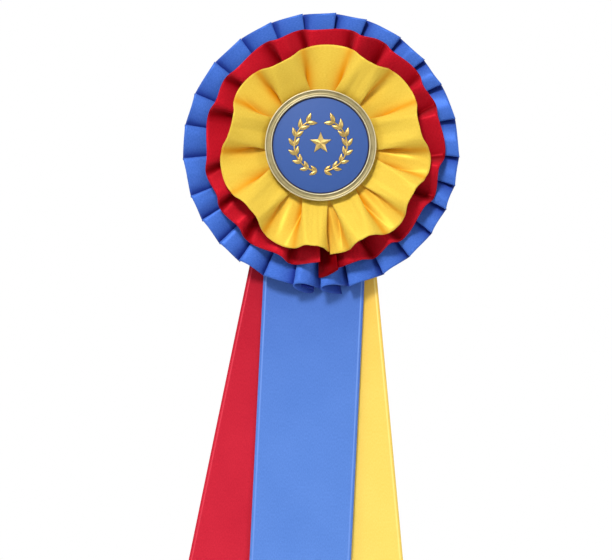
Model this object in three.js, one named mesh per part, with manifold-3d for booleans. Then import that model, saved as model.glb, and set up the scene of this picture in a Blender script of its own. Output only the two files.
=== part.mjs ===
// Award rosette: three pleated satin frills on card discs, a gilt-rimmed centre with an emblem,
// three satin tails and a brooch pin on the back.
// Millimetres, +Z up. The face looks along -Y. The origin is the middle of the brooch pin, in the plane of the
// back card's rear face. "Depth" is the distance in front of that face, so a piece at depth d lies at y = -d.
// Inside the rosette group the height is counted from the rosette's centre.
import * as THREE from "three";
import { mergeVertices } from "three/addons/utils/BufferGeometryUtils.js";
import Module from "manifold-3d";

const wasm = await Module();
wasm.setup();

// ---------------------------------------------------------------- driving dimensions

const GLUE = 0.1; // gap left for a glue line between two flat faces
const REST = 0.3; // gap between pieces that only lie on each other
const RIBBON = 0.4; // ribbon thickness as modelled
const FRILL_SHEET = 1.0; // thickness of a frill's solid, which stands for its folded ribbon

const BACK_CARD = { radius: 34, depth: 0, thickness: 1.2 };
const BASE_CARD = { radius: 46, depth: 4.7, thickness: 1.2 };
const RED_CARD = { radius: 38, depth: 8.7, thickness: 1.0 };
const YELLOW_CARD = { radius: 31, depth: 12.5, thickness: 1.0 };

// A frill lies flat where the next card clamps it, then rises and opens into waves towards its outer edge.
const CLAMPED_SHARE = 0.2; // of the frill's width
const BLUE_FRILL = { pleats: 27, inner: 33, outer: 67.5, innerDepth: 7.1, outerDepth: 10.0, outerWave: 2.8 };
const RED_FRILL = { pleats: 17, inner: 24, outer: 58.5, innerDepth: 10.9, outerDepth: 15.4, outerWave: 2.8 };
const YELLOW_FRILL = { pleats: 8, inner: 20, outer: 52, innerDepth: 14.7, outerDepth: 23.6, outerWave: 5.4 };
const INNER_WAVE = 0.4;
const STITCH_INSET = 2.5; // stitch line from a frill's inner edge
const STITCH_RADIUS = 0.2;

const TAIL_WIDTH = 50;
const TAIL_TOP = 6; // the stapled end of each tail, above the centre
const TAIL_HINGE_Z = -76; // where the tails start to hang free, just under the frills
const TAIL_GAP = 0.4; // between a tail's held part and its free part
const BLUE_TAIL = { lean: -2.8, length: 302, depth: 4.0, cut: 14, offset: 0 };
const RED_TAIL = { lean: -11.7, length: 292, depth: 3.0, cut: 14, offset: 2.5 };
const YELLOW_TAIL = { lean: 5.3, length: 286, depth: 2.0, cut: -14, offset: -3 };

const STAPLE = { width: 10, wire: 0.5, clinch: 3.2, hole: 1.1 };
const TIER_STAPLES = { x: 8, z: 12 };
const TAIL_STAPLES = { x: 14, z: -2 };

const RIM = { outer: 27, window: 23.6, depth: 16.3, floor: 1.0, height: 3.6 };
const DISC = { radius: 23.4, thickness: 1.2 };
const EMBLEM_THICKNESS = 0.5;
const STAR = { outer: 5.4, inner: 2.2, rise: 1.2 };
const WREATH = { radius: 12.6, from: -82, to: 58, leaves: 7, leafLength: 5.6, leafWidth: 2.2, stem: 0.8 };

const PIN_HEIGHT = 16; // the brooch pin sits above the rosette's centre, so that it hangs upright
const PAD = { length: 30, width: 5.5, thickness: 0.8 };
const BAR = { length: 33, width: 5.5, thickness: 0.8 };
const NEEDLE = { radius: 0.5, height: 7.4, hingeX: -14.5, tipX: 16.4, point: 5, eye: 1.6, eyeWidth: 2.0 };
const RIVET = { radius: 0.5, head: 1.0, headHeight: 0.4 };
const EAR = { thickness: 0.8, radius: 1.9, hole: 0.6 };
const CATCH = { x: 11.9, length: 3.2, outer: 2.5, inner: 1.8, slot: 1.9 };
const ROTOR = { outer: 1.72, inner: 0.85, slot: 1.5, flange: 2.4, flangeLength: 0.6, tabReach: 4.3, tabWidth: 1.6 };

// ---------------------------------------------------------------- finishes

function finish(color, roughness, metalness = 0) {
  return new THREE.MeshStandardMaterial({ color, roughness, metalness });
}

const blueSatin = finish(0x3f6fd1, 0.4);
const redSatin = finish(0xc2182b, 0.4);
const yellowSatin = finish(0xf6cf3f, 0.4);
const whiteCard = finish(0xe8e6df, 0.9);
const blueEnamel = finish(0x4a6db1, 0.35);
const gilt = finish(0xb9a25c, 0.3, 1);
const steel = finish(0xc4c6c9, 0.3, 1);
const thread = finish(0xf0efe8, 0.8);
const foam = finish(0xf5f5f2, 0.95);

// ---------------------------------------------------------------- solids

// A closed geometry as a solid that can be joined and cut.
function solidOf(geometry) {
  const bare = new THREE.BufferGeometry().setAttribute("position", geometry.getAttribute("position"));
  bare.setIndex(geometry.index);
  const merged = mergeVertices(bare, 1e-4);
  return new wasm.Manifold(
    new wasm.Mesh({
      numProp: 3,
      vertProperties: merged.attributes.position.array,
      triVerts: new Uint32Array(merged.index.array),
    }),
  );
}

function geometryOf(solid) {
  const mesh = solid.getMesh();
  const geometry = new THREE.BufferGeometry();
  geometry.setAttribute("position", new THREE.BufferAttribute(mesh.vertProperties, 3));
  geometry.setIndex(new THREE.BufferAttribute(mesh.triVerts, 1));
  return geometry;
}

function box(low, high) {
  const size = high.map((value, axis) => value - low[axis]);
  const middle = high.map((value, axis) => (value + low[axis]) / 2);
  return new THREE.BoxGeometry(...size).translate(...middle);
}

// A solid of revolution about Y from (radius, y) points that start and end on the axis.
function turned(points, segments) {
  return new THREE.LatheGeometry(points.map(([radius, y]) => new THREE.Vector2(radius, y)), segments);
}

function disc({ radius, depth, thickness }, segments = 64) {
  return turned([[0, -depth - thickness], [radius, -depth - thickness], [radius, -depth], [0, -depth]], segments);
}

// A flat plate from an outline of (x, z) points, with its rear face at the given depth.
function plate(outline, depth, thickness) {
  const shape = new THREE.Shape(outline.map(([x, z]) => new THREE.Vector2(x, z)));
  const geometry = new THREE.ExtrudeGeometry(shape, { depth: thickness, bevelEnabled: false });
  return geometry.rotateX(Math.PI / 2).translate(0, -depth, 0);
}

// A cylinder of the given radius about the X or Z axis, from one place on the axis to another.
function rod(radius, from, to, axis, segments = 24) {
  const geometry = new THREE.CylinderGeometry(radius, radius, to - from, segments);
  geometry.translate(0, (from + to) / 2, 0);
  return axis === "x" ? geometry.rotateZ(-Math.PI / 2) : geometry.rotateX(Math.PI / 2);
}

const group = new THREE.Group();
const rosette = new THREE.Group();
rosette.position.set(0, 0, -PIN_HEIGHT);
group.add(rosette);

function add(name, geometry, material, parent = rosette) {
  const mesh = new THREE.Mesh(geometry, material);
  mesh.name = name;
  parent.add(mesh);
}

// ---------------------------------------------------------------- staples

// A staple in its own frame: the crown in front, two legs running back, and their ends bent inwards.
function stapleOutline(length) {
  const half = STAPLE.width / 2;
  const inside = half - STAPLE.wire;
  const tip = half - STAPLE.clinch;
  const back = length - STAPLE.wire;
  return [
    [-half, 0], [-tip, 0], [-tip, STAPLE.wire], [-inside, STAPLE.wire], [-inside, back], [inside, back],
    [inside, STAPLE.wire], [tip, STAPLE.wire], [tip, 0], [half, 0], [half, length], [-half, length],
  ];
}

// The outline lies in X and depth, so it is extruded by one wire's thickness along Z.
function staple({ x, z, back, front }) {
  const shape = new THREE.Shape(
    stapleOutline(front - back).map(([across, along]) => new THREE.Vector2(across, -along)),
  );
  const geometry = new THREE.ExtrudeGeometry(shape, { depth: STAPLE.wire, bevelEnabled: false });
  return geometry.translate(x, -back, z - STAPLE.wire / 2);
}

// Cuts the holes that the legs of the staples at (x, z) and (-x, z) pass through.
function punched(geometry, places) {
  let solid = solidOf(geometry);
  for (const { x, z } of places) {
    for (const middle of [-x, x]) {
      for (const leg of [-1, 1]) {
        const at = middle + (leg * (STAPLE.width - STAPLE.wire)) / 2;
        const half = STAPLE.hole / 2;
        solid = solid.subtract(solidOf(box([at - half, -20, z - half], [at + half, 1, z + half])));
      }
    }
  }
  return geometryOf(solid);
}

// ---------------------------------------------------------------- cards

add("back_card", disc(BACK_CARD), whiteCard);
add("base_card", punched(disc(BASE_CARD), [TIER_STAPLES, TAIL_STAPLES]), whiteCard);
add("red_card", punched(disc(RED_CARD), [TIER_STAPLES]), whiteCard);
add("yellow_card", punched(disc(YELLOW_CARD), [TIER_STAPLES]), whiteCard);

// ---------------------------------------------------------------- frills

// A ring of box pleats as one closed sheet, its waves growing from the clamped inner edge outwards.
function frill({ pleats, inner, outer, innerDepth, outerDepth, outerWave }) {
  const around = pleats * Math.max(4, Math.round(100 / pleats));
  const across = 5;
  const positions = [];
  const indices = [];
  for (const side of [-1, 1]) {
    for (let i = 0; i < around; i++) {
      const angle = (i / around) * 2 * Math.PI;
      for (let j = 0; j <= across; j++) {
        const share = j / across;
        const opened = Math.max(0, (share - CLAMPED_SHARE) / (1 - CLAMPED_SHARE));
        const wave = INNER_WAVE + (outerWave - INNER_WAVE) * opened;
        const middle = innerDepth + (outerDepth - innerDepth) * opened;
        const depth = middle + wave * Math.cos(pleats * angle) + (side * FRILL_SHEET) / 2;
        const radius = inner + (outer - inner) * share;
        positions.push(radius * Math.cos(angle), -depth, radius * Math.sin(angle));
      }
    }
  }
  const at = (side, i, j) => side * around * (across + 1) + (i % around) * (across + 1) + j;
  const quad = (a, b, c, d) => indices.push(a, b, c, a, c, d);
  for (let i = 0; i < around; i++) {
    for (let j = 0; j < across; j++) {
      quad(at(0, i, j), at(0, i + 1, j), at(0, i + 1, j + 1), at(0, i, j + 1));
      quad(at(1, i, j), at(1, i, j + 1), at(1, i + 1, j + 1), at(1, i + 1, j));
    }
    quad(at(0, i, 0), at(1, i, 0), at(1, i + 1, 0), at(0, i + 1, 0));
    quad(at(0, i, across), at(0, i + 1, across), at(1, i + 1, across), at(1, i, across));
  }
  const geometry = new THREE.BufferGeometry();
  geometry.setAttribute("position", new THREE.Float32BufferAttribute(positions, 3));
  geometry.setIndex(indices);
  return geometry;
}

// The thread that holds a frill to its card, lying on the pleats near their inner edge.
function stitching({ inner, innerDepth }) {
  const depth = innerDepth + INNER_WAVE + FRILL_SHEET / 2 + STITCH_RADIUS + GLUE / 2;
  const geometry = new THREE.TorusGeometry(inner + STITCH_INSET, STITCH_RADIUS, 5, 60);
  return geometry.rotateX(Math.PI / 2).translate(0, -depth, 0);
}

for (const [colour, sizes, satin] of [
  ["blue", BLUE_FRILL, blueSatin],
  ["red", RED_FRILL, redSatin],
  ["yellow", YELLOW_FRILL, yellowSatin],
]) {
  add(`${colour}_frill`, frill(sizes), satin);
  add(`${colour}_frill_stitching`, stitching(sizes), thread);
}

// ---------------------------------------------------------------- tails

// Each tail is a straight ribbon that leans sideways. It is cut level at the hinge line: the part above is
// held between the cards, and the part below hangs free and ends in a slanting cut.
function tailOutlines({ lean, length, cut, offset }) {
  const angle = THREE.MathUtils.degToRad(lean);
  const place = (across, along) => [
    across * Math.cos(angle) + along * Math.sin(angle),
    across * Math.sin(angle) - along * Math.cos(angle),
  ];
  const levelAt = (across, z) => place(across, (across * Math.sin(angle) - z) / Math.cos(angle));
  const left = offset - TAIL_WIDTH / 2;
  const right = offset + TAIL_WIDTH / 2;
  const above = TAIL_HINGE_Z + TAIL_GAP / 2;
  const below = TAIL_HINGE_Z - TAIL_GAP / 2;
  return {
    held: [place(left, -TAIL_TOP), levelAt(left, above), levelAt(right, above), place(right, -TAIL_TOP)],
    free: [levelAt(left, below), place(left, length - cut / 2), place(right, length + cut / 2), levelAt(right, below)],
  };
}

for (const [colour, sizes, satin] of [
  ["blue", BLUE_TAIL, blueSatin],
  ["red", RED_TAIL, redSatin],
  ["yellow", YELLOW_TAIL, yellowSatin],
]) {
  const { held, free } = tailOutlines(sizes);
  add(`${colour}_tail_top`, punched(plate(held, sizes.depth, RIBBON), [TAIL_STAPLES]), satin);
  add(`${colour}_tail`, plate(free, sizes.depth, RIBBON), satin);
}

const frontOf = (card) => card.depth + card.thickness;
for (const [side, sign] of [["left", -1], ["right", 1]]) {
  const tier = {
    x: sign * TIER_STAPLES.x,
    z: TIER_STAPLES.z,
    back: BASE_CARD.depth - GLUE - STAPLE.wire,
    front: frontOf(YELLOW_CARD) + GLUE + STAPLE.wire,
  };
  const tail = {
    x: sign * TAIL_STAPLES.x,
    z: TAIL_STAPLES.z,
    back: YELLOW_TAIL.depth - 2 * GLUE - STAPLE.wire,
    front: frontOf(BASE_CARD) + GLUE + STAPLE.wire,
  };
  add(`tier_staple_${side}`, staple(tier), steel);
  add(`tail_staple_${side}`, staple(tail), steel);
}

// ---------------------------------------------------------------- centre

// A shallow gilt dish: a flat floor and a rounded rim that stands proud of the disc.
function centreRim() {
  const back = -RIM.depth;
  const floor = back - RIM.floor;
  const front = back - RIM.height;
  const width = RIM.outer - RIM.window;
  const crown = [];
  for (let step = 0; step <= 8; step++) {
    const turn = (step / 8) * Math.PI;
    crown.push([RIM.window + width / 2 - (width / 2) * Math.cos(turn), front + 1.2 * (1 - Math.sin(turn))]);
  }
  return turned([[0, floor], [RIM.window, floor], ...crown, [RIM.outer, back], [0, back]], 72);
}

const discBack = RIM.depth + RIM.floor + GLUE;
const emblemBack = discBack + DISC.thickness + GLUE;
add("centre_rim", centreRim(), gilt);
add("centre_disc", disc({ ...DISC, depth: discBack }, 72), blueEnamel);

function star() {
  const outline = [];
  for (let point = 0; point < 10; point++) {
    const angle = Math.PI / 2 + (point * Math.PI) / 5;
    const radius = point % 2 ? STAR.inner : STAR.outer;
    outline.push([radius * Math.cos(angle), STAR.rise + radius * Math.sin(angle)]);
  }
  return plate(outline, emblemBack, EMBLEM_THICKNESS);
}

// One leaf: a pointed oval at a place on the stem, turned to the given heading.
function leaf(x, z, heading) {
  const outline = [];
  for (let step = 0; step < 12; step++) {
    const turn = (step / 12) * 2 * Math.PI;
    const along = (WREATH.leafLength / 2) * (1 + Math.cos(turn));
    const across = (WREATH.leafWidth / 2) * Math.sin(turn) * (1 - 0.35 * Math.cos(turn));
    outline.push([
      x + along * Math.cos(heading) - across * Math.sin(heading),
      z + along * Math.sin(heading) + across * Math.cos(heading),
    ]);
  }
  return solidOf(plate(outline, emblemBack, EMBLEM_THICKNESS));
}

// One branch of the laurel wreath: a stem along an arc, with a leaf on each side at even steps.
function branch(side) {
  const at = (degrees, radius) => {
    const angle = THREE.MathUtils.degToRad(degrees);
    return [side * radius * Math.cos(angle), radius * Math.sin(angle)];
  };
  const outer = [];
  const inner = [];
  const bends = 16;
  for (let step = 0; step <= bends; step++) {
    const degrees = WREATH.from + ((WREATH.to - WREATH.from) * step) / bends;
    outer.push(at(degrees, WREATH.radius + WREATH.stem / 2));
    inner.unshift(at(degrees, WREATH.radius - WREATH.stem / 2));
  }
  let solid = solidOf(plate([...outer, ...inner], emblemBack, EMBLEM_THICKNESS));
  for (let pair = 0; pair < WREATH.leaves; pair++) {
    const degrees = WREATH.from + 8 + ((WREATH.to - WREATH.from - 8) * pair) / (WREATH.leaves - 1);
    const [x, z] = at(degrees, WREATH.radius);
    for (const spread of [-38, 30]) {
      const forward = THREE.MathUtils.degToRad(degrees + 90 + spread);
      const heading = side > 0 ? forward : Math.PI - forward;
      solid = solid.add(leaf(x, z, heading));
    }
  }
  return geometryOf(solid);
}

add("emblem_star", star(), gilt);
add("emblem_wreath_left", branch(-1), gilt);
add("emblem_wreath_right", branch(1), gilt);

// ---------------------------------------------------------------- brooch pin

const padFront = GLUE + PAD.thickness;
const barFront = padFront + GLUE;
const barRear = barFront + BAR.thickness;

add(
  "pin_adhesive_pad",
  box([-PAD.length / 2, GLUE, -PAD.width / 2], [PAD.length / 2, padFront, PAD.width / 2]),
  foam,
  group,
);

// The steel strip with two hinge ears at one end and the catch's slotted barrel on a post at the other.
function pinBar() {
  const half = BAR.width / 2;
  let solid = solidOf(box([-BAR.length / 2, barFront, -half], [BAR.length / 2, barRear, half]));
  for (const side of [-1, 1]) {
    const near = NEEDLE.eyeWidth / 2 + 0.2;
    const [from, to] = side < 0 ? [-near - EAR.thickness, -near] : [near, near + EAR.thickness];
    const round = rod(EAR.radius, from, to, "z").translate(NEEDLE.hingeX, NEEDLE.height, 0);
    const web = box(
      [NEEDLE.hingeX - EAR.radius, barRear - 0.1, from],
      [NEEDLE.hingeX + EAR.radius, NEEDLE.height, to],
    );
    solid = solid.add(solidOf(round)).add(solidOf(web));
  }
  const hole = rod(EAR.hole, -5, 5, "z").translate(NEEDLE.hingeX, NEEDLE.height, 0);
  const end = CATCH.x + CATCH.length;
  const barrel = rod(CATCH.outer, CATCH.x, end, "x", 32).translate(0, NEEDLE.height, 0);
  const bore = rod(CATCH.inner, CATCH.x - 1, end + 1, "x", 32).translate(0, NEEDLE.height, 0);
  const post = box([CATCH.x, barRear - 0.1, -1.2], [end, NEEDLE.height - CATCH.inner - 0.2, 1.2]);
  const slot = box(
    [CATCH.x - 1, NEEDLE.height, -CATCH.slot / 2],
    [end + 1, NEEDLE.height + CATCH.outer + 1, CATCH.slot / 2],
  );
  solid = solid.add(solidOf(barrel)).add(solidOf(post));
  return geometryOf(solid.subtract(solidOf(hole)).subtract(solidOf(bore)).subtract(solidOf(slot)));
}

// The hinge rivet: a shank through both ears, with a head outside each.
function pinRivet() {
  const ears = NEEDLE.eyeWidth / 2 + 0.2 + EAR.thickness;
  const head = ears + GLUE;
  let solid = solidOf(rod(RIVET.radius, -head - RIVET.headHeight, head + RIVET.headHeight, "z"));
  for (const side of [-1, 1]) {
    const [from, to] = side < 0 ? [-head - RIVET.headHeight, -head] : [head, head + RIVET.headHeight];
    solid = solid.add(solidOf(rod(RIVET.head, from, to, "z")));
  }
  return geometryOf(solid).translate(NEEDLE.hingeX, NEEDLE.height, 0);
}

// The needle: a wire with a sharp point, and an eye that turns on the rivet.
function pinNeedle() {
  const length = NEEDLE.tipX - NEEDLE.hingeX;
  const wire = turned(
    [[0, 1], [NEEDLE.radius, 1], [NEEDLE.radius, length - NEEDLE.point], [0.06, length], [0, length]],
    16,
  ).rotateZ(-Math.PI / 2);
  const eye = rod(NEEDLE.eye, -NEEDLE.eyeWidth / 2, NEEDLE.eyeWidth / 2, "z");
  const bore = rod(EAR.hole, -5, 5, "z");
  const solid = solidOf(wire).add(solidOf(eye)).subtract(solidOf(bore));
  return geometryOf(solid).translate(NEEDLE.hingeX, NEEDLE.height, 0);
}

// The catch: a slotted sleeve that turns in the barrel, with a flange at each end and a thumb tab.
function pinCatch() {
  const from = CATCH.x - 0.2;
  const to = CATCH.x + CATCH.length + 0.2;
  let solid = solidOf(rod(ROTOR.outer, from - ROTOR.flangeLength, to + ROTOR.flangeLength, "x", 32));
  solid = solid.add(solidOf(rod(ROTOR.flange, from - ROTOR.flangeLength, from, "x", 32)));
  solid = solid.add(solidOf(rod(ROTOR.flange, to, to + ROTOR.flangeLength, "x", 32)));
  const tab = box([to, -ROTOR.tabWidth / 2, -ROTOR.tabReach], [to + ROTOR.flangeLength, ROTOR.tabWidth / 2, 0]);
  const bore = rod(ROTOR.inner, from - 2, to + 2, "x", 32);
  const slot = box([from - 2, 0, -ROTOR.slot / 2], [to + 2, ROTOR.flange + 1, ROTOR.slot / 2]);
  solid = solid.add(solidOf(tab)).subtract(solidOf(bore)).subtract(solidOf(slot));
  return geometryOf(solid).translate(0, NEEDLE.height, 0);
}

add("pin_bar", pinBar(), steel, group);
add("pin_rivet", pinRivet(), steel, group);
add("pin_needle", pinNeedle(), steel, group);
add("pin_catch", pinCatch(), steel, group);

export default group;
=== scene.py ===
import math

import bmesh
import bpy
import numpy as np
from mathutils import Matrix, Vector


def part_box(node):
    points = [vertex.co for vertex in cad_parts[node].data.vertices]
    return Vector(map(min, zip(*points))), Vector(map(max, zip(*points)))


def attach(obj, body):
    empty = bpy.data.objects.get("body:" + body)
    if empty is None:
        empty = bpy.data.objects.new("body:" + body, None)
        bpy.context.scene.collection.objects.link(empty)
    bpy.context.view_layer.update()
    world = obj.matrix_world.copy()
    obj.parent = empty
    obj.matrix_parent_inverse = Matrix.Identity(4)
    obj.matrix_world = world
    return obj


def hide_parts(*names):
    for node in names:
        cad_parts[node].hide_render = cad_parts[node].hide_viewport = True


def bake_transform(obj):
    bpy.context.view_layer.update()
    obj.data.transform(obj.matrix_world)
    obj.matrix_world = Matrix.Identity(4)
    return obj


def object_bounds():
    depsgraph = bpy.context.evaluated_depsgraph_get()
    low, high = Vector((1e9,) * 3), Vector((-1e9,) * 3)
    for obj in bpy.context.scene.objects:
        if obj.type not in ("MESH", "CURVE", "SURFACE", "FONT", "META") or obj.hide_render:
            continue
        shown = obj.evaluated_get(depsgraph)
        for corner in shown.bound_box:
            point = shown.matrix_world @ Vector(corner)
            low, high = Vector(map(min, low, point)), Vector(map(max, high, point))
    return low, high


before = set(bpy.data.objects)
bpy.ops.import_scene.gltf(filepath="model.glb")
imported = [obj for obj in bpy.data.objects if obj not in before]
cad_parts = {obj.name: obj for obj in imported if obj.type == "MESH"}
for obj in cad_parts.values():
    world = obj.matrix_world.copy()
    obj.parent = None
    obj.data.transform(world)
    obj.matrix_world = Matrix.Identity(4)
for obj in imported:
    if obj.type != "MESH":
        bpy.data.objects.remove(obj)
cad_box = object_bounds()

MM = 0.001


def corners(node):
    """A CAD node's lowest and highest corners, in millimetres."""
    return [[value / MM for value in corner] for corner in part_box(node)]


# ---------------------------------------------------------------- sizes, in millimetres

RIM_LOW, RIM_HIGH = corners("centre_rim")
CENTRE_Z = (RIM_LOW[2] + RIM_HIGH[2]) / 2  # height of the rosette's centre
RIM_OUTER = (RIM_HIGH[0] - RIM_LOW[0]) / 2
RIM_INNER = 23.6  # radius inside which the disc shows
RIM_BACK, RIM_FRONT = -RIM_HIGH[1], -RIM_LOW[1]
DISC_FRONT = -corners("centre_disc")[0][1]
RIBBON_THICK = 0.28
TAIL_WIDE = 50.0

# Where the folds of each frill lie, in degrees clockwise from twelve o'clock. Each list starts and ends at
# six o'clock, where the ribbon's two ends overlap.
BLUE_FOLDS = (-180, -167.5, -155, -143, -132, -120, -109, -93, -79, -65.5, -50, -35.5, -21, -7.5,
              6.5, 19.5, 35.5, 49, 61.5, 77, 93, 105, 115.5, 127, 140.5, 153.5, 168.5, 181)
RED_FOLDS = (-178, -162, -137, -118, -100, -71, -53.5, -27, -10, 15, 31, 54, 70, 96, 116, 142, 157, 173)
YELLOW_PANELS = (  # each raised panel, from its first fold to its last
    (-187, -159), (-146, -112), (-93, -58), (-44, -10), (12, 43), (59, 94), (102, 134), (141, 171),
)

# ---------------------------------------------------------------- materials


def linear(code):
    """An sRGB hex colour as linear RGBA."""
    parts = [int(code[i:i + 2], 16) / 255 for i in (1, 3, 5)]
    return (*[c / 12.92 if c <= 0.04045 else ((c + 0.055) / 1.055) ** 2.4 for c in parts], 1.0)


def node(tree, kind, inputs=(), **settings):
    """Adds a node, sets its properties, and fills or links its inputs by name or number."""
    new = tree.nodes.new(kind)
    for name, value in settings.items():
        setattr(new, name, value)
    for key, value in dict(inputs).items():
        if isinstance(value, bpy.types.NodeSocket):
            tree.links.new(value, new.inputs[key])
        else:
            new.inputs[key].default_value = value
    return new


def new_material(name, **surface):
    """A material with a Principled surface, whose fixed inputs are given by name with _ for a space."""
    material = bpy.data.materials.new(name)
    material.use_nodes = True
    tree = material.node_tree
    shader = tree.nodes["Principled BSDF"]
    for key, value in surface.items():
        shader.inputs[key.replace("_", " ")].default_value = value
    return material, tree, shader


def grain(tree, place, *size):
    """Noise with blotches of about the given size in millimetres, the same each way or one for each axis."""
    scale = [1 / (value * MM) for value in (size * 3)[:3]]
    spread = node(tree, "ShaderNodeMapping", {"Vector": place, "Scale": scale})
    noise = node(tree, "ShaderNodeTexNoise", {"Vector": spread.outputs[0], "Scale": 1, "Detail": 3})
    return noise.outputs[0]


def blended(tree, share, first, second, low=0.0, high=1.0, most=1.0):
    """Goes from one colour to another as share goes from low to high, up to the given part of the way."""
    limits = {"Value": share, "From Min": low, "From Max": high, "To Max": most}
    limited = node(tree, "ShaderNodeMapRange", limits).outputs[0]
    first, second = (linear(colour) if isinstance(colour, str) else colour for colour in (first, second))
    return node(tree, "ShaderNodeMix", {0: limited, 6: first, 7: second}, data_type="RGBA").outputs[2]


def coat(tree, shader, colour, height, strength, depth):
    """Gives a surface its colour, and a bump of a depth in millimetres."""
    tree.links.new(colour, shader.inputs["Base Color"])
    relief = node(tree, "ShaderNodeBump", {"Strength": strength, "Distance": depth * MM, "Height": height})
    tree.links.new(relief.outputs[0], shader.inputs["Normal"])


SATIN_FLOAT = (0.4, 1.1, 1)  # across the ribbon, along it, and a third size that doesn't show
SATIN_CLOUD = 22  # size of the faint changes of tone
CLOUD_SHARE = 0.35  # how much they count beside the floats
LINE_HALF, LINE_FADED = 0.2, 0.45  # the selvedge line's half width, and where it is gone
DIP_HALF, DIP_FADED, DIP_DEPTH = 0.12, 0.4, 1.5  # the same for the dip along it


def satin(name, light, deep, painted_shade_colour, selvedge=None):
    """Woven polyester satin ribbon. Its long floats give a soft streaky gloss in the ribbon's own tint, over
    a fine grain. Where the mesh's fold attribute is high, its colour is painted towards the third colour:
    painted shade, deeper and richer, for the dark of a fold and the light that bounces about in it. Real
    floats are
    about 0.1 by 1 mm: they are drawn 0.4 mm wide, so that they show. The pattern lies on the ribbon's own
    coordinates, in metres. selvedge is the colour of the woven line along each edge, and its distance in
    millimetres from the ribbon's middle."""
    material, tree, shader = new_material(
        name, Roughness=0.34, Specular_IOR_Level=0.65, Specular_Tint=linear(light), Anisotropic=0.4,
        Sheen_Weight=0.1, Sheen_Roughness=0.4, Sheen_Tint=linear(light),
    )
    place = node(tree, "ShaderNodeUVMap", uv_map="ribbon").outputs[0]
    height = grain(tree, place, *SATIN_FLOAT)
    both = {0: grain(tree, place, SATIN_CLOUD), 1: CLOUD_SHARE, 2: height}
    tone = node(tree, "ShaderNodeMath", both, operation="MULTIPLY_ADD").outputs[0]
    # Painted shade: where the fold attribute is high, the colour goes towards the third, darker colour.
    fold = node(tree, "ShaderNodeAttribute", attribute_name="fold").outputs["Fac"]
    colour = blended(tree, fold, blended(tree, tone, deep, light, 0.43, 0.92), painted_shade_colour)
    if selvedge:
        line, out = selvedge
        across = node(tree, "ShaderNodeSeparateXYZ", {0: place}).outputs[0]
        side = node(tree, "ShaderNodeMath", {0: across}, operation="ABSOLUTE").outputs[0]
        off = node(tree, "ShaderNodeMath", {0: side, 1: out * MM}, operation="SUBTRACT").outputs[0]
        away = node(tree, "ShaderNodeMath", {0: off}, operation="ABSOLUTE").outputs[0]
        colour = blended(tree, away, line, colour, LINE_HALF * MM, LINE_FADED * MM)
        limits = {"Value": away, "From Min": DIP_HALF * MM, "From Max": DIP_FADED * MM, "To Max": DIP_DEPTH}
        beside = node(tree, "ShaderNodeMapRange", limits).outputs[0]
        height = node(tree, "ShaderNodeMath", {0: height, 1: beside}, operation="ADD").outputs[0]
    coat(tree, shader, colour, height, 0.15, 0.05)
    return material


WORN_PATCH = 5  # size of the patches where a finish has rubbed


def finish(name, light, deep, size, strength, worn=None, bands=(), **surface):
    """A solid material whose tone and surface vary with a fine grain of the given size in millimetres. worn
    is the colour it has rubbed down to in patches. Each band is a colour round the rosette's centre, and the
    radii in millimetres where it starts to show and where it is full."""
    material, tree, shader = new_material(name, **surface)
    place = node(tree, "ShaderNodeTexCoord").outputs["Object"]
    fine = grain(tree, place, size)
    colour = blended(tree, fine, deep, light)
    if worn:
        patches = grain(tree, place, WORN_PATCH)
        colour = blended(tree, patches, colour, worn, low=0.52, high=0.7, most=0.7)
    for band, start, full in bands:
        flat = node(tree, "ShaderNodeVectorMath", {0: place, 1: (1, 0, 1)}, operation="MULTIPLY").outputs[0]
        ends = {0: flat, 1: (0, 0, CENTRE_Z * MM)}
        radius = node(tree, "ShaderNodeVectorMath", ends, operation="DISTANCE").outputs["Value"]
        colour = blended(tree, radius, colour, band, start * MM, full * MM)
    coat(tree, shader, colour, fine, strength, 0.04)
    return material


# The third colour of each satin is its painted shade, for its folds and the tops of the tails under the
# frills.
BLUE_SATIN = satin("blue satin ribbon", "#4C74C9", "#355DB0", "#1B2885")
RED_SATIN = satin("red satin ribbon", "#BD1B2A", "#A00E1D", "#680004")
YELLOW_SATIN = satin("yellow satin ribbon", "#D9BB4B", "#CCA93B", "#CF8206")
BLUE_TAIL_SATIN = satin("blue satin tail ribbon", "#5B82CB", "#4D74BC", "#1B2885", ("#6889CF", 23.6))
RED_TAIL_SATIN = satin("red satin tail ribbon", "#C2293A", "#AE1E30", "#560004", ("#C93848", 23.6))
YELLOW_TAIL_SATIN = satin("yellow satin tail ribbon", "#EACC68", "#E0C056", "#D98406", ("#F0D478", 23.6))
# Pressed, uncoated pulp board: matt and off-white, with a faint mottle from its fibres.
CARD = finish("white pulp board", "#F0EDE6", "#DAD6CC", 1.1, 0.35, Roughness=0.9)
# Twisted cotton thread: matt, with its twist drawn as a coarse mottle.
THREAD = finish("cotton sewing thread", "#F0EEE6", "#C8C4B8", 0.3, 0.5, Roughness=0.85)
# Thin stamped tinplate under a gilt lacquer: a soft dull gloss, gone browner in patches, with a painted
# highlight along both lips, full for 0.4 mm from the edge and fading out by 0.65 mm.
GILT = finish(
    "gilt-lacquered tinplate", "#A2956B", "#90835A", 1.4, 0.1, worn="#7E7048",
    bands=(
        ("#C8BE9C", RIM_OUTER - 0.65, RIM_OUTER - 0.4),
        ("#C8BE9C", RIM_INNER + 0.65, RIM_INNER + 0.4),
    ),
    Roughness=0.45, Metallic=0.5,
)
# Stamped foil: yellower and shinier than the rim, with a slightly uneven face.
GOLD_FOIL = finish(
    "stamped gold foil", "#D2B873", "#B29350", 0.7, 0.2, worn="#9C7B3C", Roughness=0.36, Metallic=0.75,
)
# Printed, matt-coated card: an even blue with a very fine tooth, and a painted shadow round its edge, under
# the rim.
PRINTED_CARD = finish(
    "blue printed card", "#335393", "#2B4A88", 0.4, 0.12,
    bands=(("#241B3C", RIM_INNER - 0.8, RIM_INNER - 0.5),), Roughness=0.6, Specular_IOR_Level=0.3,
)
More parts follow.
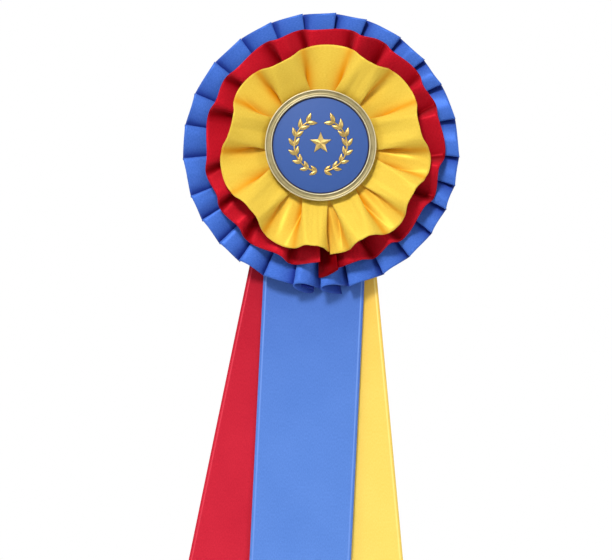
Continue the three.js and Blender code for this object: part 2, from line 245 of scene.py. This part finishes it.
# Pressed steel under bright nickel plate: clear reflections, dulled by fine scuffs.
STEEL = finish(
    "nickel-plated pressed steel", "#CDD0D4", "#A6A9AE", 0.8, 0.15, worn="#8E9197",
    Roughness=0.28, Metallic=1.0,
)
# Closed-cell foam tape: dead matt, with pores that show at its cut sides.
FOAM = finish("closed-cell foam tape", "#F6F5F2", "#D9D8D2", 0.35, 0.5, Roughness=0.95)
# Painted studio board: pale and matt, so that it only takes soft shadows.
FLOOR = finish("painted studio board", "#F4F4F3", "#EFEFEE", 250, 0.0, Roughness=0.9)

# ---------------------------------------------------------------- building helpers


def add_object(name, mesh, material, smooth=True):
    """Puts a mesh into the scene as an object with one material."""
    made = bpy.data.objects.new(name, mesh)
    bpy.context.scene.collection.objects.link(made)
    mesh.materials.append(material)
    if smooth:
        mesh.polygons.foreach_set("use_smooth", [True] * len(mesh.polygons))
    return made


def sheet_mesh(name, points, along, across, fold):
    """A sheet from a grid of points in millimetres (rows along the ribbon, columns across it), with the
    ribbon's own coordinates in metres as its UV map: across in the first, along in the second. fold is a
    point attribute: how deep the painted shade is at each point, from 0 to 1."""
    rows, columns = points.shape[:2]
    index = np.arange(rows * columns).reshape(rows, columns)
    faces = np.stack([index[:-1, :-1], index[:-1, 1:], index[1:, 1:], index[1:, :-1]], axis=-1)
    faces = faces.reshape(-1, 4)
    mesh = bpy.data.meshes.new(name)
    mesh.from_pydata((points.reshape(-1, 3) * MM).tolist(), [], faces.tolist())
    uv = np.stack([across * MM, along * MM], axis=-1).reshape(-1, 2)
    layer = mesh.uv_layers.new(name="ribbon")
    layer.data.foreach_set("uv", uv[faces.reshape(-1)].ravel())
    mesh.attributes.new("fold", "FLOAT", "POINT").data.foreach_set("value", fold.reshape(-1))
    return mesh


def apply_modifiers(obj):
    """Replaces the object's mesh by what its modifiers make of it."""
    mesh = bpy.data.meshes.new_from_object(obj.evaluated_get(bpy.context.evaluated_depsgraph_get()))
    obj.modifiers.clear()
    obj.data = mesh
    return obj


def thicken(obj, thickness):
    """Gives a sheet its thickness in millimetres, half to each side."""
    solid = obj.modifiers.new("thickness", "SOLIDIFY")
    solid.thickness, solid.offset, solid.use_even_offset = thickness * MM, 0.0, False
    return apply_modifiers(obj)


def turned(name, profile, material):
    """A ring turned about the rosette's axis from (radius, depth) points in millimetres."""
    made = bmesh.new()
    points = [made.verts.new((radius * MM, -depth * MM, 0)) for radius, depth in profile]
    edges = [made.edges.new(pair) for pair in zip(points, points[1:])]
    bmesh.ops.spin(
        made, geom=points + edges, cent=(0, 0, 0), axis=(0, 1, 0), angle=2 * math.pi, steps=192,
        use_merge=True, use_duplicate=False,
    )
    bmesh.ops.remove_doubles(made, verts=made.verts, dist=1e-7)
    bmesh.ops.recalc_face_normals(made, faces=made.faces)
    bmesh.ops.translate(made, verts=made.verts, vec=(0, 0, CENTRE_Z * MM))
    mesh = bpy.data.meshes.new(name)
    made.to_mesh(mesh)
    made.free()
    return add_object(name, mesh, material)


# ---------------------------------------------------------------- frills

ROWS = 30  # points across a frill's ribbon
FOLD_POINTS = 7  # points along a part that is folded back
LOOSE_POINTS = 26  # points along a ribbon's loose end, so many that rounding doesn't draw it in
UNEVEN = 0.5  # how far a frill's edge strays from an even ring, and half as far in depth
CREASE = 0.55  # how deep its small creases are


def rounded(values, passes):
    """Rounds a line of values by averaging each with its neighbours, again and again."""
    for _ in range(passes):
        ends = [[2 * values[0] - values[1]], values, [2 * values[-1] - values[-2]]]
        wide = np.concatenate(ends)
        values = (wide[:-2] + 2 * values + wide[2:]) / 4
    return values


def stretch(start, end, count):
    """Line points from one to another, without the last."""
    share = np.linspace(0, 1, count + 1)[:-1, None]
    return np.array(start) * (1 - share) + np.array(end) * share


def dusk(distance, near, far):
    """How deep the shade is at a distance in degrees from where a panel comes out from under a fold. It fades
    fast over near degrees, and then slowly over far ones."""
    distance = np.clip(distance, 0, None)
    return 0.55 * np.exp(-distance / near) + 0.45 * np.exp(-distance / far)


def knife_pleats(folds, tucks, lifts, dips, drops, clockwise):
    """The line of a knife-pleated ribbon as (angle, height, reach, shade) points, height from -1 to 1 times
    the lift, and shade the depth of the painted shade, from 0 to 1. Each panel comes out from under its
    neighbour and folds back by its tuck: clockwise ones climb to their last fold, and the others sink to it.
    The outer edge dips between folds, and the turned-back part may drop out past it. The painted shade is
    deepest where a panel lies under its neighbour's fold, on the turned-back parts, and all through a
    turned-back part that drops."""
    line = []
    share = np.linspace(0, 1, 23)[:-1]
    panels = zip(folds, folds[1:], tucks, tucks[1:], lifts, dips, drops)
    for first, last, before, after, lift, dip, drop in panels:
        if clockwise:
            angle = first - before + (last - first + before) * share
            height = lift * (2 * np.sin(share * 2.1) - 1)
            reach = dip * ((2 * share - 1) ** 2 - 1)
            shade = dusk(angle - first, 1.6, 6)
            back = stretch((last, height[-1], 0.3 * drop, 0.3), (last - after, -lift, drop, 1), FOLD_POINTS)
        else:
            angle = first + (last - first + after) * share
            height = lift * np.cos(share ** 1.15 * math.pi)
            reach = -dip * (1 - np.cos(share * 2 * math.pi)) / 2
            shade = dusk(last - angle, 2.5, 8)
            count = LOOSE_POINTS if last == folds[-1] else FOLD_POINTS
            back = stretch((last + after, -lift, drop, 1), (last, lift, 0.6 * drop, min(1.0, drop)), count)
        line += [np.stack([angle, height, reach, shade], axis=1), back]
    return np.concatenate(line)


def box_pleats(panels, tuck, spread, lifts, glooms):
    """The line of a box-pleated ribbon: raised panels whose edges fold under to sunken, puffed ones. Towards
    the outer edge the raised panels narrow by spread on each side, and the sunken ones widen. glooms gives
    the depth of the shade on either side of each sunken panel. The ribbon's two ends reach out less far."""
    line = []
    raised = np.linspace(0, 1, 37)[:-1]
    bulge = np.sin(raised * math.pi)
    sunken = np.linspace(0, 1, 25)[:-1]
    followers = [first for first, _ in panels[1:]] + [panels[0][0] + 360]
    for (first, last), follower, lift, (left, right) in zip(panels, followers, lifts, glooms):
        start, end, after = first + spread, last - spread, follower + spread
        high, low = 0.6 * lift, -0.9 * lift
        if not line:
            line.append(stretch((start + tuck, low, -3, 1), (start, high, 0, 0), 6))
        angle = start + (end - start) * raised
        crown = lift * (0.55 + 0.5 * bulge ** 0.5 - 0.45 * bulge ** 4)
        line.append(np.stack([angle, crown, -bulge, 0 * raised], axis=1))
        line.append(stretch((end, high, 0, 0), (end - tuck, low, 0, 1), 6))
        angle = end - tuck + (after - end + 2 * tuck) * sunken
        puff = lift * (-0.9 + 0.5 * np.sin(sunken * math.pi))
        # Painted shade on either side of the sunken panel; the parts turned under carry it in full.
        shade = left * dusk(angle - end, 1.5, 5) + right * dusk(after - angle, 1.5, 5)
        line.append(np.stack([angle, puff, 0 * sunken, shade], axis=1))
        line.append(stretch((after + tuck, low, 0, 1), (after, high, 0, 0), 6))
    line[-2][:, 2] = -1.5
    return np.concatenate(line[:-1])


def frill(name, material, line_at, inner, wide, clamped, depths, waves, passes, offset, lean=0.0):
    """A pleated ribbon sewn flat round its inner edge and opening outwards. line_at gives the pleats' line
    for a share of the way across; it lies flat over the clamped share. depths, waves and passes are (inner,
    outer) values of the frill's depth, its waves' height and how far its folds are rounded. offset moves its
    outer edge across and up, and lean draws the tops of its waves inwards."""
    rng = np.random.default_rng(1)
    rows = []
    for share in np.linspace(0, 1, ROWS):
        opened = max(0.0, (share - clamped) / (1 - clamped))
        line = line_at(share)
        count = round(passes[0] + (passes[1] - passes[0]) * opened ** 1.5)
        angle, height, reach = (rounded(line[:, k], count) for k in range(3))
        shade = rounded(line[:, 3], min(count, 4))
        wave = waves[0] + (waves[1] - waves[0]) * opened ** 0.75
        depth = depths[0] + (depths[1] - depths[0]) * opened + wave * height
        rows.append((angle, depth, height, reach, shade))
    angle, depth, height, reach, shade = (np.stack(values) for values in zip(*rows))
    share = np.linspace(0, 1, ROWS)[:, None]
    ripples = rng.uniform(0, 2 * math.pi, 6)
    slow = sum(np.sin(np.radians(angle) * k + ripples[k - 2]) for k in range(2, 6)) / 4
    creases = np.stack([rounded(line, 7) for line in rng.normal(0, CREASE, (2, depth.shape[1]))])
    depth += UNEVEN / 2 * share ** 2 * slow
    depth += np.sin(share * math.pi) ** 0.7 * (creases[:1] * (1 - share) + creases[1:] * share)
    # The ribbon keeps its width: what a row gains in depth, it loses in radius.
    step = wide / (ROWS - 1)
    outward = np.sqrt(np.maximum(step ** 2 - np.diff(depth, axis=0) ** 2, (0.3 * step) ** 2))
    radius = inner + np.concatenate([np.zeros((1, depth.shape[1])), np.cumsum(outward, axis=0)])
    radius += share ** 2 * (UNEVEN * slow - lean * height + reach)
    turn = np.radians(angle)
    x = radius * np.sin(turn) + share * offset[0]
    z = CENTRE_Z + radius * np.cos(turn) + share * offset[1]
    points = np.stack([x, -depth, z], axis=-1)
    middle = points[ROWS // 2]
    run = np.concatenate([[0], np.cumsum(np.linalg.norm(np.diff(middle, axis=0), axis=1))])
    across = np.broadcast_to((share - 0.5) * wide, depth.shape)
    along = np.broadcast_to(run, depth.shape)
    # The painted shade goes to the mesh as its fold attribute.
    mesh = sheet_mesh(name, points.transpose(1, 0, 2), along.T, across.T, np.clip(shade, 0, 1).T)
    made = thicken(add_object(name, mesh, material), RIBBON_THICK)
    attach(made, "rosette")
    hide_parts(name.replace("_ribbon", ""))


def varied(count, low, high, seed):
    """Values scattered evenly between two limits, the same on every run."""
    return np.random.default_rng(seed).uniform(low, high, count)


def blue_line(share):
    """Pressed pleats all the way out. The two beside six o'clock stay looped into open tubes, dark inside
    with painted shade.
    """
    count = len(BLUE_FOLDS) - 1
    tucks = np.full(count + 1, 7.5 * (1 - share) + 0.9)
    tucks[[1, -1]] += 10 * share
    lifts, dips, drops = varied(count, 0.75, 1.1, 3), varied(count, 0.3, 0.9, 4), np.zeros(count)
    lifts[[0, -1]], dips[[0, -1]], drops[[0, -1]] = 1.6, 1.5, 3.2
    return knife_pleats(BLUE_FOLDS, tucks, lifts, dips, drops, True)


def red_line(share):
    """Soft folds, whose ribbon ends in a loose fold at six o'clock."""
    count = len(RED_FOLDS) - 1
    tucks = np.full(count + 1, 9.0 * (1 - share) + 0.5)
    tucks[-1] = 9.5 + 3 * share
    lifts, dips, drops = varied(count, 0.7, 1.2, 5), varied(count, 0.3, 1.6, 6), np.zeros(count)
    drops[-1] = 5 * share
    return knife_pleats(RED_FOLDS, tucks, lifts, dips, drops, False)


def yellow_line(share):
    """Puffed panels whose folds open out, each with its shade strongest at a different place."""
    count = len(YELLOW_PANELS)
    deepest = varied(2 * count, 0.35, 0.75, 8).reshape(count, 2)
    strength = varied(2 * count, 0.6, 1.2, 9).reshape(count, 2)
    glooms = strength * (0.4 + 0.6 * np.exp(-((share - deepest) / 0.28) ** 2))
    glooms[-1] *= 0.5
    tuck, spread = 11 * (1 - share) ** 1.3, 6 * max(0.0, share - 0.2)
    return box_pleats(YELLOW_PANELS, tuck, spread, varied(count, 0.85, 1.1, 7), glooms)


frill(
    "blue_frill_ribbon", BLUE_SATIN, blue_line, inner=33, wide=35, clamped=0.15,
    depths=(7.1, 10.0), waves=(0.4, 3.3), passes=(1, 3), offset=(0.3, -1.9),
)
frill(
    "red_frill_ribbon", RED_SATIN, red_line, inner=24, wide=35, clamped=0.2,
    depths=(10.9, 16.0), waves=(0.4, 5.0), passes=(1, 60), offset=(1.7, -0.9), lean=1.3,
)
frill(
    "yellow_frill_ribbon", YELLOW_SATIN, yellow_line, inner=20, wide=31.5, clamped=0.22,
    depths=(14.7, 23.6), waves=(0.4, 6.0), passes=(1, 110), offset=(2.2, -2.6), lean=0.7,
)

# ---------------------------------------------------------------- tails

TAIL_TUCKED = 6  # how far each tail reaches up past the centre, between the cards
TAIL_FREE = 60  # how far below the centre it starts to hang free
SWAY, CURL = 1.6, 0.45  # how far it waves to and fro, and curls over its width
TAILS = {  # lean in degrees, length below the centre, depth, slant of the cut end, shift sideways
    "blue": (-2.8, 302, 4.2, 14, 0.0),
    "red": (-11.7, 292, 3.2, 14, 2.5),
    "yellow": (5.3, 286, 2.2, -14, -3.0),
}


def tail(colour, material, bulge):
    """A straight satin ribbon, held between the cards at its top and hanging free below the frills. bulge is
    how far its end stands forward."""
    lean, length, depth, cut, shift = TAILS[colour]
    across = np.linspace(-TAIL_WIDE / 2, TAIL_WIDE / 2, 33)[None, :]
    end = length + cut * (across / TAIL_WIDE)
    share = np.linspace(0, 1, 170)[:, None]
    along = -TAIL_TUCKED + (end + TAIL_TUCKED) * share
    across = np.broadcast_to(across, along.shape)
    free = np.clip((along - TAIL_FREE) / (length - TAIL_FREE), 0, 1)
    turn = math.radians(lean)
    sway = SWAY * np.sin(free * 5.2) * free ** 0.7 + bulge * free ** 1.4
    curl = CURL * free * (np.cos(across / TAIL_WIDE * 2.6 + free * 2.2) - 1)
    x = (across + shift) * math.cos(turn) + along * math.sin(turn)
    z = CENTRE_Z + (across + shift) * math.sin(turn) - along * math.cos(turn)
    points = np.stack([x, -(depth + sway + curl), z], axis=-1)
    # Painted shade, deepest where the tail is held under the frills and fading as it hangs free.
    shade = 0.4 * np.exp(-free * 5)
    name = f"{colour}_tail_ribbon"
    made = add_object(name, sheet_mesh(name, points, along, across, shade), material)
    thicken(made, RIBBON_THICK)
    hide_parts(f"{colour}_tail", f"{colour}_tail_top")
    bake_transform(made)


tail("blue", BLUE_TAIL_SATIN, 2.4)
tail("red", RED_TAIL_SATIN, 1.2)
tail("yellow", YELLOW_TAIL_SATIN, 0.4)

# ---------------------------------------------------------------- centre

RIM_FLOOR = 1.0  # depth of the shell's floor, under the disc
LIP = 0.38  # radius of each rolled lip


def lip(middle):
    """The round top of a rolled lip, from its outer side to its inner one, as (radius, depth) points."""
    turns = np.linspace(0, math.pi, 13)
    return [(middle + LIP * math.cos(turn), RIM_FRONT - LIP + LIP * math.sin(turn)) for turn in turns]


rim = turned("centre_rim_rolled", [
    (0.0, RIM_BACK), (RIM_OUTER - LIP, RIM_BACK), (RIM_OUTER, RIM_BACK + LIP),
    *lip(RIM_OUTER - LIP), *lip(RIM_INNER + LIP),
    (RIM_INNER, RIM_BACK + RIM_FLOOR), (0.0, RIM_BACK + RIM_FLOOR),
], GILT)
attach(rim, "rosette")
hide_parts("centre_rim")

LEAF_LONG, LEAF_HALF = 5.2, 1.15  # a leaf's length and half its width
STAR_TIP, STAR_NOTCH, STAR_HIGH = 5.6, 2.35, 1.1  # the star's radii, and the height of its middle
STAR_Z = CENTRE_Z + 1.0
TO_FRONT = Matrix.Rotation(math.pi / 2, 4, "X")  # turns what lies flat to face forwards


def wreath_leaf():
    """One laurel leaf lying along +X from the origin, pointed at both ends, with a raised rib."""
    made = bmesh.new()
    rows = []
    for share in np.linspace(0, 1, 13):
        half = LEAF_HALF * math.sin(math.pi * share ** 0.8) ** 0.85 + 0.02
        rib = 0.18 + 0.34 * math.sin(math.pi * share)
        flank = 0.75 * rib
        section = ((-1, 0), (-0.9, 0.14), (-0.45, flank), (0, rib), (0.45, flank), (0.9, 0.14), (1, 0))
        places = [Vector((LEAF_LONG * share, across * half, up)) * MM for across, up in section]
        rows.append([made.verts.new(place) for place in places])
    for one, two in zip(rows, rows[1:]):
        for near in range(6):
            made.faces.new((one[near], two[near], two[near + 1], one[near + 1]))
        made.faces.new((one[0], one[6], two[6], two[0]))
    for row in (rows[0], rows[-1]):
        made.faces.new(row)
    bmesh.ops.recalc_face_normals(made, faces=made.faces)
    mesh = bpy.data.meshes.new("laurel leaf")
    made.to_mesh(mesh)
    made.free()
    return add_object("laurel_leaf", mesh, GOLD_FOIL)


def tree_inputs(tree, **inputs):
    """Gives a tree its output and its named inputs, each a kind and a default, and returns their sockets."""
    for name, (kind, default) in inputs.items():
        socket = tree.interface.new_socket(name, in_out="INPUT", socket_type=f"NodeSocket{kind}")
        if default is not None:
            socket.default_value = default
    tree.interface.new_socket("Geometry", in_out="OUTPUT", socket_type="NodeSocketGeometry")
    return node(tree, "NodeGroupInput").outputs


def end_tree(tree, geometry, material):
    """Turns a tree's instances into a real mesh with a material, and sends it to the output."""
    real = node(tree, "GeometryNodeRealizeInstances", {0: geometry})
    done = node(tree, "GeometryNodeSetMaterial", {"Geometry": real.outputs[0], "Material": material})
    node(tree, "NodeGroupOutput", {0: done.outputs[0]})


def laurel_tree():
    """Leaves in pairs along an arc-shaped stem. Sizes in metres, angles in radians."""
    tree = bpy.data.node_groups.new("laurel branch", "GeometryNodeTree")
    tree.is_modifier = True
    given = tree_inputs(
        tree, Radius=("Float", 0.0128), From=("Float", -1.43), Sweep=("Float", 2.45), Pairs=("Int", 8),
        Spread=("Float", 0.6), Stem=("Float", 0.0004), Leaf=("Object", None), Finish=("Material", None),
    )
    arc = node(tree, "GeometryNodeCurveArc", {
        "Resolution": 64, "Radius": given["Radius"], "Start Angle": given["From"],
        "Sweep Angle": given["Sweep"],
    }).outputs["Curve"]
    places = node(tree, "GeometryNodeCurveToPoints", {"Curve": arc, "Count": given["Pairs"]}, mode="COUNT")
    leaf = node(tree, "GeometryNodeObjectInfo", {"Object": given["Leaf"]}).outputs["Geometry"]
    heading = node(tree, "FunctionNodeAlignEulerToVector", {"Vector": places.outputs["Tangent"]}, axis="X")
    number = node(tree, "GeometryNodeInputIndex").outputs[0]
    last = node(tree, "ShaderNodeMath", {0: given["Pairs"], 1: 1.0}, operation="SUBTRACT").outputs[0]
    size = node(tree, "ShaderNodeMapRange", {
        "Value": number, "From Max": last, "To Min": 0.8, "To Max": 1.0,
    }).outputs[0]
    joined = node(tree, "GeometryNodeJoinGeometry")
    for side in (1.0, -1.0):
        swing = node(tree, "ShaderNodeMath", {0: given["Spread"], 1: side}, operation="MULTIPLY").outputs[0]
        turn = node(tree, "ShaderNodeCombineXYZ", {"Z": swing}).outputs[0]
        swung = {"Rotation": heading.outputs[0], "Rotate By": turn}
        rotation = node(tree, "FunctionNodeRotateEuler", swung, space="OBJECT").outputs[0]
        leaves = node(tree, "GeometryNodeInstanceOnPoints", {
            "Points": places.outputs["Points"], "Instance": leaf, "Rotation": rotation, "Scale": size,
        })
        tree.links.new(leaves.outputs[0], joined.inputs[0])
    wire = node(tree, "GeometryNodeCurvePrimitiveCircle", {"Resolution": 10, "Radius": given["Stem"]})
    stem = node(tree, "GeometryNodeCurveToMesh", {
        "Curve": arc, "Profile Curve": wire.outputs[0], "Fill Caps": True,
    })
    tree.links.new(stem.outputs[0], joined.inputs[0])
    end_tree(tree, joined.outputs[0], given["Finish"])
    return tree


def grown(name, tree, place, **inputs):
    """An object whose mesh is what the tree makes, moved by the given matrix."""
    made = bpy.data.objects.new(name, bpy.data.meshes.new(name))
    bpy.context.scene.collection.objects.link(made)
    modifier = made.modifiers.new("shape", "NODES")
    modifier.node_group = tree
    for socket in tree.interface.items_tree:
        if socket.item_type == "SOCKET" and socket.in_out == "INPUT" and socket.name in inputs:
            modifier[socket.identifier] = inputs[socket.name]
    apply_modifiers(made)
    made.data.transform(place)
    if place.determinant() < 0:
        made.data.flip_normals()
    made.data.polygons.foreach_set("use_smooth", [True] * len(made.data.polygons))
    return made


def raised_star():
    """A five-pointed star whose ridges run from its middle to its points."""
    made = bmesh.new()
    rings = []
    for size, up in ((1.0, 0.05), (0.96, 0.3)):
        rings.append([])
        for point in range(10):
            radius = size * (STAR_TIP if point % 2 == 0 else STAR_NOTCH)
            turn = math.pi / 2 + point * math.pi / 5
            place = Vector((radius * math.cos(turn), -(DISC_FRONT + up), STAR_Z + radius * math.sin(turn)))
            rings[-1].append(made.verts.new(place * MM))
    low, high = rings
    top = made.verts.new(Vector((0, -(DISC_FRONT + STAR_HIGH), STAR_Z)) * MM)
    for near in range(10):
        after = (near + 1) % 10
        made.faces.new((low[near], low[after], high[after], high[near]))
        made.faces.new((high[near], high[after], top))
    made.faces.new(low)
    bmesh.ops.recalc_face_normals(made, faces=made.faces)
    mesh = bpy.data.meshes.new("star")
    made.to_mesh(mesh)
    made.free()
    return add_object("emblem_star_raised", mesh, GOLD_FOIL, smooth=False)


leaf = wreath_leaf()
laurel = laurel_tree()
on_disc = Matrix.Translation((0, -(DISC_FRONT + 0.1) * MM, CENTRE_Z * MM)) @ TO_FRONT
for side, mirror in (("right", 1), ("left", -1)):
    place = Matrix.Diagonal((mirror, 1, 1, 1)) @ on_disc
    branch = grown(f"emblem_wreath_{side}_raised", laurel, place, Leaf=leaf, Finish=GOLD_FOIL)
    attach(branch, "rosette")
    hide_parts(f"emblem_wreath_{side}")
bpy.data.objects.remove(leaf)
star = raised_star()
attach(star, "rosette")
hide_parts("emblem_star")

# ---------------------------------------------------------------- stitches

THREAD_RADIUS = 0.2
STITCH_APART = 4.5


def stitch_tree():
    """Stitches along a circle, each an arch of thread whose ends dive into the ribbon. Sizes in metres."""
    tree = bpy.data.node_groups.new("running stitch", "GeometryNodeTree")
    tree.is_modifier = True
    given = tree_inputs(
        tree, Radius=("Float", 0.03), Stitches=("Int", 40), Length=("Float", 0.0032),
        Rise=("Float", 0.0004), Thread=("Float", THREAD_RADIUS * MM), Finish=("Material", None),
    )
    ring = node(tree, "GeometryNodeCurvePrimitiveCircle", {"Resolution": 128, "Radius": given["Radius"]})
    spaced = {"Curve": ring.outputs[0], "Count": given["Stitches"]}
    places = node(tree, "GeometryNodeCurveToPoints", spaced, mode="COUNT")
    ends = []
    for side in (-0.5, 0.5):
        out = node(tree, "ShaderNodeMath", {0: given["Length"], 1: side}, operation="MULTIPLY").outputs[0]
        down = node(tree, "ShaderNodeMath", {0: given["Rise"], 1: -1.0}, operation="MULTIPLY").outputs[0]
        ends.append(node(tree, "ShaderNodeCombineXYZ", {"X": out, "Z": down}).outputs[0])
    up = node(tree, "ShaderNodeMath", {0: given["Rise"], 1: 2.0}, operation="MULTIPLY").outputs[0]
    top = node(tree, "ShaderNodeCombineXYZ", {"Z": up}).outputs[0]
    arch = node(tree, "GeometryNodeCurveQuadraticBezier", {
        "Resolution": 8, "Start": ends[0], "Middle": top, "End": ends[1],
    })
    thread = node(tree, "GeometryNodeCurvePrimitiveCircle", {"Resolution": 6, "Radius": given["Thread"]})
    stitch = node(tree, "GeometryNodeCurveToMesh", {
        "Curve": arch.outputs[0], "Profile Curve": thread.outputs[0], "Fill Caps": True,
    })
    heading = node(tree, "FunctionNodeAlignEulerToVector", {"Vector": places.outputs["Tangent"]}, axis="X")
    sewn = node(tree, "GeometryNodeInstanceOnPoints", {
        "Points": places.outputs["Points"], "Instance": stitch.outputs[0], "Rotation": heading.outputs[0],
    })
    end_tree(tree, sewn.outputs[0], given["Finish"])
    return tree


running_stitch = stitch_tree()
for colour in ("blue", "red", "yellow"):
    (low_x, low_y, _), (high_x, high_y, _) = corners(f"{colour}_frill_stitching")
    radius = (high_x - low_x) / 2 - THREAD_RADIUS
    place = Matrix.Translation((0, (low_y + high_y) / 2 * MM, CENTRE_Z * MM)) @ TO_FRONT
    sewn = grown(
        f"{colour}_frill_stitches", running_stitch, place, Radius=radius * MM,
        Stitches=round(2 * math.pi * radius / STITCH_APART), Finish=THREAD,
    )
    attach(sewn, "rosette")
    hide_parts(f"{colour}_frill_stitching")

# ---------------------------------------------------------------- cards, staples and pin

SHARP = math.radians(35)  # edges that turn by more than this show as edges


def softened(piece, material, body, width):
    """A copy of a CAD piece with its outer edges rounded by a width in millimetres, standing in for it.
    Inner edges stay sharp, so that nothing grows into the gaps between moving parts."""
    made = bmesh.new()
    made.from_mesh(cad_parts[piece].data)
    bmesh.ops.remove_doubles(made, verts=made.verts, dist=0.001 * MM)
    bmesh.ops.recalc_face_normals(made, faces=made.faces)
    outer = [edge for edge in made.edges if edge.is_convex and edge.calc_face_angle(0) > SHARP]
    bmesh.ops.bevel(
        made, geom=outer, offset=width * MM, segments=2, profile=0.5, affect="EDGES", clamp_overlap=True,
    )
    mesh = bpy.data.meshes.new(f"{piece}_softened")
    made.to_mesh(mesh)
    made.free()
    mesh.set_sharp_from_angle(angle=SHARP)
    made = add_object(f"{piece}_softened", mesh, material)
    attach(made, body)
    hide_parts(piece)


for pieces, material, body, slot, width in (
    (("back_card", "base_card", "red_card", "yellow_card"), CARD, "rosette", "white_card", 0.2),
    (("tier_staple_left", "tier_staple_right"), STEEL, "rosette", "steel", 0.12),
    (("tail_staple_left", "tail_staple_right"), STEEL, "rosette", "steel", 0.12),
    (("centre_disc",), PRINTED_CARD, "rosette", "blue_enamel", 0.15),
    (("pin_adhesive_pad",), FOAM, "rosette", "foam", 0.2),
    (("pin_bar", "pin_rivet"), STEEL, "rosette", "steel", 0.12),
    (("pin_needle",), STEEL, "needle", "steel", 0.1),
    (("pin_catch",), STEEL, "catch", "steel", 0.12),
):
    for piece in pieces:
        softened(piece, material, body, width)

# ---------------------------------------------------------------- floor, light and camera, in metres

FLOOR_RADIUS = 0.5
FLOOR_GAP = 0.012  # the tails hang clear of the floor
AMBIENT = 0.36  # how strongly the room itself lights the ribbon
AWAY = 0.72  # from the camera to the rosette's face
SEEN_WIDE = 0.2968  # how much of that plane the picture takes in
FACE_Y = -0.018
PICTURE_X, PICTURE_Z = -0.0071, CENTRE_Z * MM - 0.0653  # the middle of the picture


def floor():
    """A round board below the tails, which takes their shadow."""
    made = bmesh.new()
    bmesh.ops.create_circle(made, cap_ends=True, radius=FLOOR_RADIUS, segments=96)
    bmesh.ops.translate(made, verts=made.verts, vec=(0, 0, cad_box[0][2] - FLOOR_GAP))
    mesh = bpy.data.meshes.new("floor")
    made.to_mesh(mesh)
    made.free()
    add_object("floor", mesh, FLOOR, smooth=False)


def lamp(name, place, target, size, power):
    """A soft rectangular lamp that points at its target, with its power in watts."""
    light = bpy.data.lights.new(name, "AREA")
    light.energy, light.shape, light.size, light.size_y = power, "RECTANGLE", size[0], size[1]
    made = bpy.data.objects.new(name, light)
    made.location = place
    aim = Vector(target) - Vector(place)
    made.rotation_euler = aim.to_track_quat("-Z", "Y").to_euler()
    bpy.context.scene.collection.objects.link(made)


floor()
middle = (0.0, 0.0, (CENTRE_Z - 60) * MM)
lamp("key", (-0.3, -1.1, 0.8), middle, (0.3, 0.3), 19.5)
lamp("fill", (0.95, -0.95, 0.15), middle, (0.45, 0.45), 3.8)
lamp("side", (-1.1, -0.7, 0.05), middle, (0.3, 0.45), 2.8)
lamp("back", (0.3, 1.2, 0.7), middle, (0.8, 0.8), 10)
world = bpy.data.worlds.new("pale studio")
world.use_nodes = True
sky = world.node_tree.nodes["Background"]
seen = node(world.node_tree, "ShaderNodeLightPath").outputs["Is Camera Ray"]
glow = node(world.node_tree, "ShaderNodeMapRange", {"Value": seen, "To Min": AMBIENT, "To Max": 1.0})
world.node_tree.links.new(glow.outputs[0], sky.inputs["Strength"])
sky.inputs["Color"].default_value = (1, 1, 1, 1)
bpy.context.scene.world = world
bpy.context.scene.view_settings.view_transform = "Standard"

lens = bpy.data.cameras.new("camera")
lens.lens = lens.sensor_width * AWAY / SEEN_WIDE
camera = bpy.data.objects.new("camera", lens)
camera.location = (PICTURE_X, FACE_Y - AWAY, PICTURE_Z)
camera.rotation_euler = (math.pi / 2, 0, 0)
bpy.context.scene.collection.objects.link(camera)
bpy.context.scene.camera = camera
